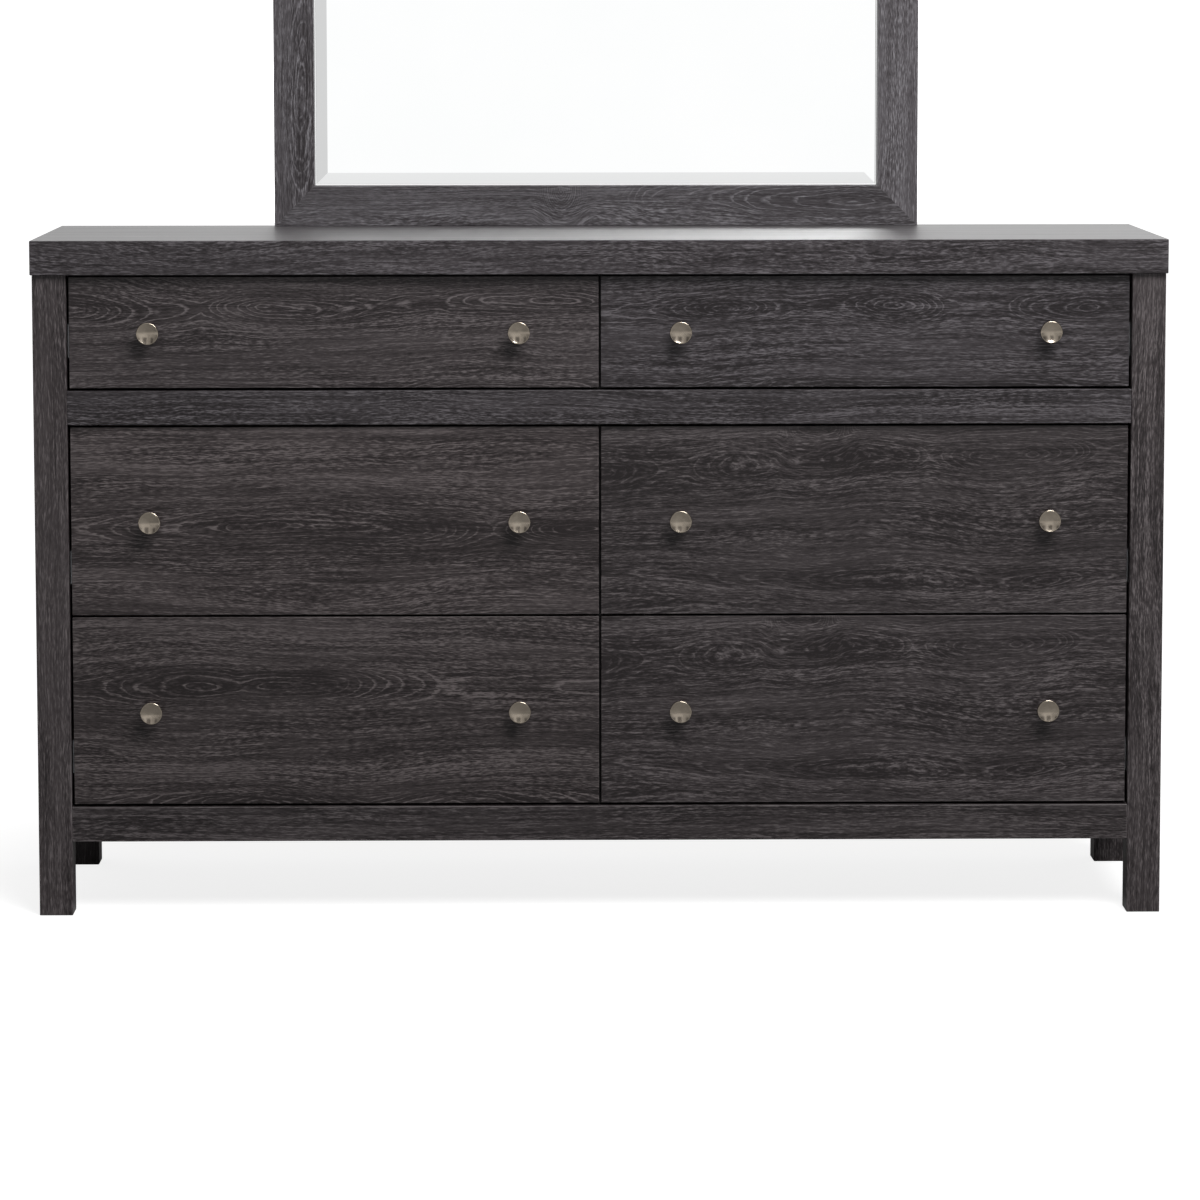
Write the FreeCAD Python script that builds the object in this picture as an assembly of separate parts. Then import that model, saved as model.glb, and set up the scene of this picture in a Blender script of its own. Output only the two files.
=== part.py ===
import FreeCAD, Part
import math
import os

# Dresser with a fixed mirror. X runs to the right, Y to the back and Z up, in millimetres.
# The origin is on the floor, in the middle of the whole object's footprint.

V = FreeCAD.Vector

# Top
TOP_WIDTH = 1524.0
TOP_DEPTH = 432.0
TOP_THICKNESS = 46.0
TOP_PANEL_THICKNESS = 22.0
TOP_RIM_WIDTH = 60.0
TOP_SIDE_OVERHANG = 2.0
TOP_FRONT_OVERHANG = 8.0

# Posts and panels of the case
POST_WIDTH = 45.0
POST_DEPTH = 45.0
FLOOR_CLEARANCE = 101.0
BOTTOM_RAIL_HEIGHT = 47.0
MIDDLE_RAIL_HEIGHT = 46.0
RAIL_SETBACK = 1.0
REAR_RAIL_HEIGHT = 70.0
REAR_RAIL_THICKNESS = 18.0
STRETCHER_DEPTH = 60.0
STRETCHER_THICKNESS = 18.0
SIDE_PANEL_THICKNESS = 18.0
SIDE_PANEL_SETBACK = 8.0
DIVIDER_THICKNESS = 18.0
BOTTOM_PANEL_THICKNESS = 15.0
BACK_PANEL_THICKNESS = 4.0
EDGE_EASE = 0.8

# Drawer fronts
UPPER_FRONT_HEIGHT = 150.0
LOWER_FRONT_HEIGHT = 255.0
FRONT_THICKNESS = 16.0
FRONT_SETBACK = 8.0
FRONT_REAR_GAP = 2.0
REVEAL = 3.0

# Drawer boxes
BOX_LIFT = 12.0
BOX_TOP_CLEARANCE = 11.0
BOX_REAR_CLEARANCE = 12.0
BOX_SIDE_THICKNESS = 12.0
BOX_BACK_THICKNESS = 12.0
BOX_BOTTOM_THICKNESS = 4.0
GROOVE_LIFT = 10.0
GROOVE_DEPTH = 6.0
GROOVE_CLEARANCE = 0.15

# Drawer slides
SLIDE_WIDTH = 12.7
SLIDE_HEIGHT = 45.0
SLIDE_STEEL = 1.5
SLIDE_LIFT = 28.0
SLIDE_RUNNING_GAP = 0.5
SLIDE_FLANGE_DEPTH = 9.0
SLIDE_FRONT_GAP = 2.0
SLIDE_REAR_GAP = 4.0

# Knobs
KNOB_INSET = 107.0
KNOB_DIAMETER = 30.0
KNOB_PROJECTION = 25.0
KNOB_BASE_DIAMETER = 15.0
KNOB_BASE_THICKNESS = 2.5
KNOB_NECK_DIAMETER = 10.0
KNOB_RIM_THICKNESS = 4.0
KNOB_RIM_ROUND = 1.2
KNOB_RIM_LAND = 0.8
KNOB_DISH_DEPTH = 2.2
KNOB_SCREW_GRIP = 8.0
KNOB_SCREW_CLEARANCE = 0.1

# Mirror
MIRROR_WIDTH = 914.0
MIRROR_HEIGHT = 965.0
MIRROR_FRAME_WIDTH = 57.0
MIRROR_FRAME_THICKNESS = 25.0
RABBET_WIDTH = 7.0
GLASS_THICKNESS = 5.0
GLASS_EDGE_GAP = 0.5
BEVEL_BORDER = 8.5
BEVEL_WIDTH = 16.0
BEVEL_DROP = 0.8
BACKING_THICKNESS = 4.0
SUPPORT_WIDTH = 45.0
SUPPORT_THICKNESS = 18.0
SUPPORT_INSET = 4.0
SUPPORT_RISE = 520.0

# Screws
SCREW_DIAMETER = 4.0
SCREW_HEAD_DIAMETER = 8.0
SCREW_HEAD_HEIGHT = 2.5
SCREW_BITE = 12.0
SMALL_SCREW_DIAMETER = 3.0
SMALL_SCREW_HEAD_DIAMETER = 6.0
SMALL_SCREW_HEAD_HEIGHT = 1.6
SMALL_SCREW_BITE = 7.0
SCREW_HOLE_CLEARANCE = 0.2
HEAD_CROWN_SHARE = 0.75
RECESS_WIDTH_SHARE = 0.16
RECESS_LENGTH_SHARE = 0.6
RECESS_DEPTH_SHARE = 0.6
TOP_SCREW_SHARES = (-0.75, -0.3, 0.3, 0.75)
BACK_SCREW_SHARES = (-0.92, -0.2, 0.2, 0.92)
MIRROR_SCREW_SHARES = (0.2, 0.85)
CUT_OVERRUN = 1.0

# Places from front to back
KNOB_REACH = KNOB_PROJECTION - FRONT_SETBACK
CASE_DEPTH = TOP_DEPTH - TOP_FRONT_OVERHANG
OVERALL_DEPTH = KNOB_REACH + CASE_DEPTH + SUPPORT_THICKNESS + SCREW_HEAD_HEIGHT
POST_FRONT = KNOB_REACH - OVERALL_DEPTH / 2
CASE_BACK = POST_FRONT + CASE_DEPTH
FRONT_FACE = POST_FRONT + FRONT_SETBACK
FRONT_REAR = FRONT_FACE + FRONT_THICKNESS
CASE_INNER_FRONT = FRONT_REAR + FRONT_REAR_GAP
REAR_RAIL_BACK = CASE_BACK - BACK_PANEL_THICKNESS
REAR_RAIL_FRONT = REAR_RAIL_BACK - REAR_RAIL_THICKNESS
FRONT_POST_BACK = POST_FRONT + POST_DEPTH
REAR_POST_FRONT = CASE_BACK - POST_DEPTH
BOX_BACK = REAR_RAIL_FRONT - BOX_REAR_CLEARANCE
SLIDE_FRONT = CASE_INNER_FRONT + SLIDE_FRONT_GAP
SLIDE_REAR = REAR_RAIL_FRONT - SLIDE_REAR_GAP
MIRROR_FRONT = CASE_BACK - MIRROR_FRAME_THICKNESS

# Places across, from the middle outwards
CASE_HALF = TOP_WIDTH / 2 - TOP_SIDE_OVERHANG
POST_INNER = CASE_HALF - POST_WIDTH
SIDE_PANEL_OUTER = CASE_HALF - SIDE_PANEL_SETBACK
SIDE_PANEL_INNER = SIDE_PANEL_OUTER - SIDE_PANEL_THICKNESS
DIVIDER_HALF = DIVIDER_THICKNESS / 2
FRONT_INNER = REVEAL / 2
FRONT_OUTER = POST_INNER - REVEAL
BOX_INNER = DIVIDER_HALF + SLIDE_WIDTH
BOX_OUTER = POST_INNER - SLIDE_WIDTH

# Heights, from the floor up
BOTTOM_RAIL_TOP = FLOOR_CLEARANCE + BOTTOM_RAIL_HEIGHT
LOWER_FRONT_BOTTOM = BOTTOM_RAIL_TOP + REVEAL
MIDDLE_FRONT_BOTTOM = LOWER_FRONT_BOTTOM + LOWER_FRONT_HEIGHT + REVEAL
MIDDLE_RAIL_BOTTOM = MIDDLE_FRONT_BOTTOM + LOWER_FRONT_HEIGHT + REVEAL
MIDDLE_RAIL_TOP = MIDDLE_RAIL_BOTTOM + MIDDLE_RAIL_HEIGHT
UPPER_FRONT_BOTTOM = MIDDLE_RAIL_TOP + REVEAL
TOP_UNDERSIDE = UPPER_FRONT_BOTTOM + UPPER_FRONT_HEIGHT + REVEAL
TOP_SURFACE = TOP_UNDERSIDE + TOP_THICKNESS
STRETCHER_BOTTOM = TOP_UNDERSIDE - STRETCHER_THICKNESS
REAR_RAIL_MIDDLES = (
    FLOOR_CLEARANCE + REAR_RAIL_HEIGHT / 2,
    (MIDDLE_RAIL_BOTTOM + MIDDLE_RAIL_TOP) / 2,
    TOP_UNDERSIDE - REAR_RAIL_HEIGHT / 2,
)

# Drawer rows: the height of each front's lower edge, and its own height
DRAWER_ROWS = {
    "upper": (UPPER_FRONT_BOTTOM, UPPER_FRONT_HEIGHT),
    "middle": (MIDDLE_FRONT_BOTTOM, LOWER_FRONT_HEIGHT),
    "lower": (LOWER_FRONT_BOTTOM, LOWER_FRONT_HEIGHT),
}


def board(x_span, y_span, z_span):
    """Plain board between two values along each axis."""
    corner = V(x_span[0], y_span[0], z_span[0])
    size = V(x_span[1], y_span[1], z_span[1]) - corner
    return Part.makeBox(size.x, size.y, size.z, corner)


def eased(shape):
    """The shape with its sharp edges taken off."""
    return shape.makeChamfer(EDGE_EASE, shape.Edges)


def prism(points, travel):
    """Solid swept by a flat outline moved along a vector."""
    return Part.Face(Part.makePolygon(points + points[:1])).extrude(travel)


def flipped(shape):
    """The shape's twin on the other side of the middle plane."""
    return shape.mirror(V(0, 0, 0), V(1, 0, 0))


def both_sides(shapes):
    """The shapes of the right half, followed by their twins of the left half."""
    return shapes + [flipped(shape) for shape in shapes]


def placed(shape, place, axis):
    """A copy of a shape made along +Z, moved to a place and turned along an axis."""
    copy = shape.copy()
    copy.Placement = FreeCAD.Placement(place, FreeCAD.Rotation(V(0, 0, 1), axis))
    return copy


def screw(diameter, length, head_diameter, head_height):
    """Pan head screw with its head's seat at the origin and its shank along +Z."""
    shank = Part.makeCylinder(diameter / 2, length)
    seat_radius = head_diameter / 2
    head = Part.makeCone(seat_radius * HEAD_CROWN_SHARE, seat_radius, head_height, V(0, 0, -head_height))
    solid = shank.fuse(head).removeSplitter()
    reach = head_diameter * RECESS_LENGTH_SHARE / 2
    half = head_diameter * RECESS_WIDTH_SHARE / 2
    depth_span = (-head_height - CUT_OVERRUN, -head_height * (1 - RECESS_DEPTH_SHARE))
    slot = board((-reach, reach), (-half, half), depth_span)
    cross_slot = board((-half, half), (-reach, reach), depth_span)
    return solid.cut(slot.fuse(cross_slot))


def large_screw(length):
    return screw(SCREW_DIAMETER, length, SCREW_HEAD_DIAMETER, SCREW_HEAD_HEIGHT)


def small_screw(length):
    return screw(SMALL_SCREW_DIAMETER, length, SMALL_SCREW_HEAD_DIAMETER, SMALL_SCREW_HEAD_HEIGHT)


def top_panel():
    """Thick top with a hollow underside inside its rim."""
    half = TOP_WIDTH / 2
    front = POST_FRONT - TOP_FRONT_OVERHANG
    slab = eased(board((-half, half), (front, CASE_BACK), (TOP_UNDERSIDE, TOP_SURFACE)))
    hollow = board(
        (TOP_RIM_WIDTH - half, half - TOP_RIM_WIDTH),
        (front + TOP_RIM_WIDTH, CASE_BACK - TOP_RIM_WIDTH),
        (TOP_UNDERSIDE - CUT_OVERRUN, TOP_SURFACE - TOP_PANEL_THICKNESS),
    )
    return slab.cut(hollow)


def post(y_span):
    """Square corner post of the right side, standing on the floor."""
    return eased(board((POST_INNER, CASE_HALF), y_span, (0, TOP_UNDERSIDE)))


def side_panel():
    """Right side panel, held between the front and the rear post."""
    return board(
        (SIDE_PANEL_INNER, SIDE_PANEL_OUTER),
        (FRONT_POST_BACK, REAR_POST_FRONT),
        (FLOOR_CLEARANCE, TOP_UNDERSIDE),
    )


def front_rail(z_span):
    """Rail between the front posts, which also backs against the divider."""
    return eased(board((-POST_INNER, POST_INNER), (POST_FRONT + RAIL_SETBACK, CASE_INNER_FRONT), z_span))


def bottom_panel():
    """Floor board of the case, notched round the four posts."""
    z_span = (BOTTOM_RAIL_TOP - BOTTOM_PANEL_THICKNESS, BOTTOM_RAIL_TOP)
    panel = board((-SIDE_PANEL_INNER, SIDE_PANEL_INNER), (CASE_INNER_FRONT, REAR_RAIL_FRONT), z_span)
    notch_spans = ((POST_FRONT, FRONT_POST_BACK), (REAR_POST_FRONT, CASE_BACK))
    notches = [board((POST_INNER, CASE_HALF), y_span, (0, TOP_UNDERSIDE)) for y_span in notch_spans]
    return panel.cut(both_sides(notches))


def divider():
    """Upright board between the two columns of drawers."""
    return board(
        (-DIVIDER_HALF, DIVIDER_HALF),
        (CASE_INNER_FRONT, REAR_RAIL_FRONT),
        (BOTTOM_RAIL_TOP, STRETCHER_BOTTOM),
    )


def back_panel():
    """Thin board that closes the back between the rear posts."""
    return board((-POST_INNER, POST_INNER), (REAR_RAIL_BACK, CASE_BACK), (FLOOR_CLEARANCE, TOP_UNDERSIDE))


def rear_rails():
    """Three rails between the rear posts, in front of the back panel."""
    half = REAR_RAIL_HEIGHT / 2
    y_span = (REAR_RAIL_FRONT, REAR_RAIL_BACK)
    return [board((-POST_INNER, POST_INNER), y_span, (z - half, z + half)) for z in REAR_RAIL_MIDDLES]


def top_stretchers():
    """Flat boards under the top, one at the front and one at the rear."""
    spans = (
        (CASE_INNER_FRONT, CASE_INNER_FRONT + STRETCHER_DEPTH),
        (REAR_RAIL_FRONT - STRETCHER_DEPTH, REAR_RAIL_FRONT),
    )
    return [board((-POST_INNER, POST_INNER), y_span, (STRETCHER_BOTTOM, TOP_UNDERSIDE)) for y_span in spans]


def slide_bottom(row):
    """Height of the lower edge of a row's slides."""
    return DRAWER_ROWS[row][0] + BOX_LIFT + SLIDE_LIFT


def slide_screw_places(row):
    """Where a row's slides are screwed to the posts, as pairs of Y and Z."""
    z = slide_bottom(row) + SLIDE_HEIGHT / 2
    return [V(0, (SLIDE_FRONT + FRONT_POST_BACK) / 2, z), V(0, (REAR_POST_FRONT + SLIDE_REAR) / 2, z)]


def channel(row, web_face, towards_drawer):
    """Fixed member of a slide: a trough against a post or the divider, open towards the drawer."""
    low = slide_bottom(row)
    high = low + SLIDE_HEIGHT
    web = web_face + towards_drawer * SLIDE_STEEL
    lip = web_face + towards_drawer * SLIDE_FLANGE_DEPTH
    outline = [
        (web_face, low),
        (lip, low),
        (lip, low + SLIDE_STEEL),
        (web, low + SLIDE_STEEL),
        (web, high - SLIDE_STEEL),
        (lip, high - SLIDE_STEEL),
        (lip, high),
        (web_face, high),
    ]
    trough = prism([V(x, SLIDE_FRONT, z) for x, z in outline], V(0, SLIDE_REAR - SLIDE_FRONT, 0))
    hole_radius = SMALL_SCREW_DIAMETER / 2 + SCREW_HOLE_CLEARANCE
    for place in slide_screw_places(row):
        start = V(web_face - towards_drawer * CUT_OVERRUN, place.y, place.z)
        length = SLIDE_STEEL + 2 * CUT_OVERRUN
        trough = trough.cut(Part.makeCylinder(hole_radius, length, start, V(towards_drawer, 0, 0)))
    return trough


def slide_channels():
    """The fixed slide members of all drawers."""
    right_half = []
    for row in DRAWER_ROWS:
        right_half.append(channel(row, DIVIDER_HALF, 1))
        right_half.append(channel(row, POST_INNER, -1))
    return both_sides(right_half)


def drawer_rail(row, web_face, towards_case):
    """Moving member of a slide: a trough on the drawer's side, nested in the fixed one."""
    inset = SLIDE_STEEL + SLIDE_RUNNING_GAP
    low = slide_bottom(row) + inset
    high = slide_bottom(row) + SLIDE_HEIGHT - inset
    web = web_face + towards_case * SLIDE_STEEL
    lip = web_face + towards_case * (SLIDE_WIDTH - inset)
    outline = [
        (web_face, low),
        (lip, low),
        (lip, low + SLIDE_STEEL),
        (web, low + SLIDE_STEEL),
        (web, high - SLIDE_STEEL),
        (lip, high - SLIDE_STEEL),
        (lip, high),
        (web_face, high),
    ]
    return prism([V(x, SLIDE_FRONT, z) for x, z in outline], V(0, BOX_BACK - SLIDE_FRONT, 0))


def drawer_rails(row):
    """The two moving slide members of a drawer of the right column."""
    return [drawer_rail(row, BOX_INNER, -1), drawer_rail(row, BOX_OUTER, 1)]


def box_heights(row):
    """Heights of the lower and upper edge of a drawer's sides."""
    bottom, height = DRAWER_ROWS[row]
    top = bottom + height + REVEAL - STRETCHER_THICKNESS - BOX_TOP_CLEARANCE
    return bottom + BOX_LIFT, top


def knob_places(row):
    """Where the knobs of a drawer of the right column sit on its front."""
    bottom, height = DRAWER_ROWS[row]
    z = bottom + height / 2
    return [V(x, FRONT_FACE, z) for x in (FRONT_INNER + KNOB_INSET, FRONT_OUTER - KNOB_INSET)]


def drawer_front(row):
    """Drawer front with a groove for the drawer's bottom and holes for the knob screws."""
    bottom, height = DRAWER_ROWS[row]
    front = eased(board((FRONT_INNER, FRONT_OUTER), (FRONT_FACE, FRONT_REAR), (bottom, bottom + height)))
    groove = board(
        (BOX_INNER + BOX_SIDE_THICKNESS - GROOVE_DEPTH, BOX_OUTER - BOX_SIDE_THICKNESS + GROOVE_DEPTH),
        (FRONT_REAR - GROOVE_DEPTH, FRONT_REAR + CUT_OVERRUN),
        groove_heights(row),
    )
    front = front.cut(groove)
    radius = SCREW_DIAMETER / 2 + SCREW_HOLE_CLEARANCE
    length = FRONT_THICKNESS + 2 * CUT_OVERRUN
    for place in knob_places(row):
        front = front.cut(Part.makeCylinder(radius, length, place - V(0, CUT_OVERRUN, 0), V(0, 1, 0)))
    return front


def groove_heights(row):
    """Heights of the lower and upper wall of the groove that holds a drawer's bottom."""
    low = box_heights(row)[0] + GROOVE_LIFT
    return low, low + BOX_BOTTOM_THICKNESS + 2 * GROOVE_CLEARANCE


def drawer_sides(row):
    """The two grooved side boards of a drawer of the right column."""
    y_span = (FRONT_REAR, BOX_BACK)
    inner_wall = BOX_INNER + BOX_SIDE_THICKNESS
    outer_wall = BOX_OUTER - BOX_SIDE_THICKNESS
    groove = board((inner_wall - GROOVE_DEPTH, outer_wall + GROOVE_DEPTH), y_span, groove_heights(row))
    inner_side = board((BOX_INNER, inner_wall), y_span, box_heights(row))
    outer_side = board((outer_wall, BOX_OUTER), y_span, box_heights(row))
    return [inner_side.cut(groove), outer_side.cut(groove)]


def drawer_bottom_heights(row):
    """Heights of a drawer bottom's two faces, which lie inside the groove with a clearance."""
    low, high = groove_heights(row)
    return low + GROOVE_CLEARANCE, high - GROOVE_CLEARANCE


def drawer_bottom(row):
    """Thin bottom that sits in the grooves and runs on under the drawer's back."""
    grip = GROOVE_DEPTH - GROOVE_CLEARANCE
    return board(
        (BOX_INNER + BOX_SIDE_THICKNESS - grip, BOX_OUTER - BOX_SIDE_THICKNESS + grip),
        (FRONT_REAR - grip, BOX_BACK),
        drawer_bottom_heights(row),
    )


def drawer_back(row):
    """Back board between the sides, standing on the drawer's bottom."""
    return board(
        (BOX_INNER + BOX_SIDE_THICKNESS, BOX_OUTER - BOX_SIDE_THICKNESS),
        (BOX_BACK - BOX_BACK_THICKNESS, BOX_BACK),
        (drawer_bottom_heights(row)[1], box_heights(row)[1]),
    )


def knob():
    """Dished round knob with its base at the origin, its face towards +Z and a blind screw hole."""
    rim = KNOB_DIAMETER / 2
    base = KNOB_BASE_DIAMETER / 2
    neck = KNOB_NECK_DIAMETER / 2
    flare = rim - neck
    rim_low = KNOB_PROJECTION - KNOB_RIM_THICKNESS
    dish = rim - KNOB_RIM_ROUND - KNOB_RIM_LAND
    dish_low = KNOB_PROJECTION - KNOB_DISH_DEPTH
    dish_radius = (dish ** 2 + KNOB_DISH_DEPTH ** 2) / (2 * KNOB_DISH_DEPTH)
    dish_middle = dish_low + dish_radius - math.sqrt(dish_radius ** 2 - (dish / 2) ** 2)
    diagonal = math.sqrt(0.5)
    foot_points = [
        V(0, 0, 0),
        V(base, 0, 0),
        V(base, 0, KNOB_BASE_THICKNESS),
        V(neck, 0, KNOB_BASE_THICKNESS),
        V(neck, 0, rim_low - flare),
    ]
    flare_middle = V(rim - flare * diagonal, 0, rim_low - flare + flare * diagonal)
    rim_bottom = V(rim, 0, rim_low)
    round_start = V(rim, 0, KNOB_PROJECTION - KNOB_RIM_ROUND)
    round_inset = KNOB_RIM_ROUND * (1 - diagonal)
    round_middle = V(rim - round_inset, 0, KNOB_PROJECTION - round_inset)
    round_end = V(rim - KNOB_RIM_ROUND, 0, KNOB_PROJECTION)
    dish_edge = V(dish, 0, KNOB_PROJECTION)
    dish_centre = V(0, 0, dish_low)
    edges = Part.makePolygon(foot_points).Edges
    edges.append(Part.Arc(foot_points[-1], flare_middle, rim_bottom).toShape())
    edges.append(Part.LineSegment(rim_bottom, round_start).toShape())
    edges.append(Part.Arc(round_start, round_middle, round_end).toShape())
    edges.append(Part.LineSegment(round_end, dish_edge).toShape())
    edges.append(Part.Arc(dish_edge, V(dish / 2, 0, dish_middle), dish_centre).toShape())
    edges.append(Part.LineSegment(dish_centre, foot_points[0]).toShape())
    body = Part.Face(Part.Wire(edges)).revolve(V(0, 0, 0), V(0, 0, 1), 360)
    hole_radius = SCREW_DIAMETER / 2 + KNOB_SCREW_CLEARANCE
    hole_depth = KNOB_SCREW_GRIP + KNOB_SCREW_CLEARANCE
    hole = Part.makeCylinder(hole_radius, hole_depth + CUT_OVERRUN, V(0, 0, -CUT_OVERRUN))
    return body.cut(hole)


def drawer_knobs(row):
    """A drawer's knobs and the screws that hold them from inside the drawer."""
    body = knob()
    fixing = large_screw(FRONT_THICKNESS + KNOB_SCREW_GRIP)
    solids = []
    for place in knob_places(row):
        solids.append(placed(body, place, V(0, -1, 0)))
        solids.append(placed(fixing, place + V(0, FRONT_THICKNESS, 0), V(0, -1, 0)))
    return solids


def mirror_member(length):
    """Mitred frame member along X, with its outer edge on z = 0 and its face on y = 0."""
    glass_depth = MIRROR_FRAME_THICKNESS - BACKING_THICKNESS - GLASS_THICKNESS + BEVEL_DROP
    width = MIRROR_FRAME_WIDTH
    section = [
        (EDGE_EASE, 0),
        (0, EDGE_EASE),
        (0, MIRROR_FRAME_THICKNESS),
        (width - RABBET_WIDTH, MIRROR_FRAME_THICKNESS),
        (width - RABBET_WIDTH, glass_depth),
        (width, glass_depth),
        (width, EDGE_EASE),
        (width - EDGE_EASE, 0),
    ]
    half = length / 2
    strip = prism([V(-half, y, z) for z, y in section], V(length, 0, 0))
    mitre = [V(-half, 0, 0), V(half, 0, 0), V(half - width, 0, width), V(width - half, 0, width)]
    return strip.common(prism(mitre, V(0, MIRROR_FRAME_THICKNESS, 0)))


def mirror_frame():
    """The four mitred members of the mirror's frame, by name."""
    half = MIRROR_WIDTH / 2
    middle = TOP_SURFACE + MIRROR_HEIGHT / 2
    places = {
        "mirror_bottom_rail": (MIRROR_WIDTH, V(0, MIRROR_FRONT, TOP_SURFACE), 0),
        "mirror_top_rail": (MIRROR_WIDTH, V(0, MIRROR_FRONT, TOP_SURFACE + MIRROR_HEIGHT), 180),
        "mirror_left_stile": (MIRROR_HEIGHT, V(-half, MIRROR_FRONT, middle), 90),
        "mirror_right_stile": (MIRROR_HEIGHT, V(half, MIRROR_FRONT, middle), -90),
    }
    members = {}
    for name, (length, place, turn) in places.items():
        member = mirror_member(length)
        member.Placement = FreeCAD.Placement(place, FreeCAD.Rotation(V(0, 1, 0), turn))
        members[name] = member
    return members


def mirror_pane(inset, y):
    """Closed rectangle inside the frame's rabbet, drawn in by an inset, at a depth."""
    edge = MIRROR_FRAME_WIDTH - RABBET_WIDTH + GLASS_EDGE_GAP + inset
    x = MIRROR_WIDTH / 2 - edge
    low = TOP_SURFACE + edge
    high = TOP_SURFACE + MIRROR_HEIGHT - edge
    return Part.makePolygon([V(-x, y, low), V(x, y, low), V(x, y, high), V(-x, y, high), V(-x, y, low)])


def mirror_glass():
    """Bevelled glass: a thin edge that the frame holds, and a thicker middle."""
    back = CASE_BACK - BACKING_THICKNESS
    edge_thickness = GLASS_THICKNESS - BEVEL_DROP
    sheet = Part.Face(mirror_pane(0, back)).extrude(V(0, -edge_thickness, 0))
    bevel_foot = mirror_pane(BEVEL_BORDER, back - edge_thickness)
    bevel_top = mirror_pane(BEVEL_BORDER + BEVEL_WIDTH, back - GLASS_THICKNESS)
    return sheet.fuse(Part.makeLoft([bevel_foot, bevel_top], True, True)).removeSplitter()


def mirror_backing():
    """Thin board behind the glass, flush with the back of the frame."""
    return Part.Face(mirror_pane(0, CASE_BACK)).extrude(V(0, -BACKING_THICKNESS, 0))


def support_span():
    """Across, the two edges of the right mirror support."""
    outer = MIRROR_WIDTH / 2 - SUPPORT_INSET
    return outer - SUPPORT_WIDTH, outer


def mirror_support():
    """Right upright that ties the mirror's frame to the back of the case."""
    low = REAR_RAIL_MIDDLES[1] - REAR_RAIL_HEIGHT / 2
    y_span = (CASE_BACK, CASE_BACK + SUPPORT_THICKNESS)
    return eased(board(support_span(), y_span, (low, TOP_SURFACE + SUPPORT_RISE)))


def top_screws():
    """Screws that hold the top from below, through the stretchers."""
    fixing = large_screw(STRETCHER_THICKNESS + SCREW_BITE)
    front_rim = POST_FRONT - TOP_FRONT_OVERHANG + TOP_RIM_WIDTH
    rear_rim = CASE_BACK - TOP_RIM_WIDTH
    rows = ((CASE_INNER_FRONT + front_rim) / 2, (REAR_RAIL_FRONT + rear_rim) / 2)
    places = [V(POST_INNER * share, y, STRETCHER_BOTTOM) for y in rows for share in TOP_SCREW_SHARES]
    return [placed(fixing, place, V(0, 0, 1)) for place in places]


def back_screws():
    """Small screws that hold the back panel to the rear rails."""
    fixing = small_screw(BACK_PANEL_THICKNESS + SMALL_SCREW_BITE)
    places = [V(POST_INNER * share, CASE_BACK, z) for z in REAR_RAIL_MIDDLES for share in BACK_SCREW_SHARES]
    return [placed(fixing, place, V(0, -1, 0)) for place in places]


def support_screws():
    """Screws through the mirror supports, into the upper rear rails and the mirror's frame."""
    x = sum(support_span()) / 2
    y = CASE_BACK + SUPPORT_THICKNESS
    case_fixing = large_screw(SUPPORT_THICKNESS + BACK_PANEL_THICKNESS + SCREW_BITE)
    mirror_fixing = large_screw(SUPPORT_THICKNESS + SCREW_BITE)
    case_heights = REAR_RAIL_MIDDLES[1:]
    mirror_heights = [TOP_SURFACE + SUPPORT_RISE * share for share in MIRROR_SCREW_SHARES]
    right_half = [placed(case_fixing, V(x, y, z), V(0, -1, 0)) for z in case_heights]
    right_half += [placed(mirror_fixing, V(x, y, z), V(0, -1, 0)) for z in mirror_heights]
    return both_sides(right_half)


def slide_screws():
    """Small screws that hold the fixed slide members to the posts and the divider."""
    fixing = small_screw(SLIDE_STEEL + SMALL_SCREW_BITE)
    right_half = []
    for row in DRAWER_ROWS:
        for place in slide_screw_places(row):
            divider_seat = V(DIVIDER_HALF + SLIDE_STEEL, place.y, place.z)
            post_seat = V(POST_INNER - SLIDE_STEEL, place.y, place.z)
            right_half.append(placed(fixing, divider_seat, V(-1, 0, 0)))
            right_half.append(placed(fixing, post_seat, V(1, 0, 0)))
    return both_sides(right_half)


def case_nodes():
    """Every node of the fixed case and its mirror, by name."""
    front_post = post((POST_FRONT, FRONT_POST_BACK))
    rear_post = post((REAR_POST_FRONT, CASE_BACK))
    side = side_panel()
    support = mirror_support()
    nodes = {
        "top_panel": [top_panel()],
        "front_left_post": [flipped(front_post)],
        "front_right_post": [front_post],
        "rear_left_post": [flipped(rear_post)],
        "rear_right_post": [rear_post],
        "left_side_panel": [flipped(side)],
        "right_side_panel": [side],
        "center_divider": [divider()],
        "bottom_panel": [bottom_panel()],
        "back_panel": [back_panel()],
        "middle_front_rail": [front_rail((MIDDLE_RAIL_BOTTOM, MIDDLE_RAIL_TOP))],
        "bottom_front_rail": [front_rail((FLOOR_CLEARANCE, BOTTOM_RAIL_TOP))],
        "rear_rails": rear_rails(),
        "top_stretchers": top_stretchers(),
        "slide_channels": slide_channels(),
        "mirror_glass": [mirror_glass()],
        "mirror_backing": [mirror_backing()],
        "mirror_left_support": [flipped(support)],
        "mirror_right_support": [support],
        "case_screws": top_screws() + back_screws() + support_screws() + slide_screws(),
    }
    for name, member in mirror_frame().items():
        nodes[name] = [member]
    return nodes


def drawer_nodes(row):
    """Every node of a row's right and left drawer, by name."""
    pieces = {
        "front": [drawer_front(row)],
        "sides": drawer_sides(row),
        "back": [drawer_back(row)],
        "bottom": [drawer_bottom(row)],
        "knobs": drawer_knobs(row),
        "slide_rails": drawer_rails(row),
    }
    nodes = {}
    for piece, solids in pieces.items():
        nodes[f"{row}_right_drawer_{piece}"] = solids
        nodes[f"{row}_left_drawer_{piece}"] = [flipped(solid) for solid in solids]
    return nodes


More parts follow.
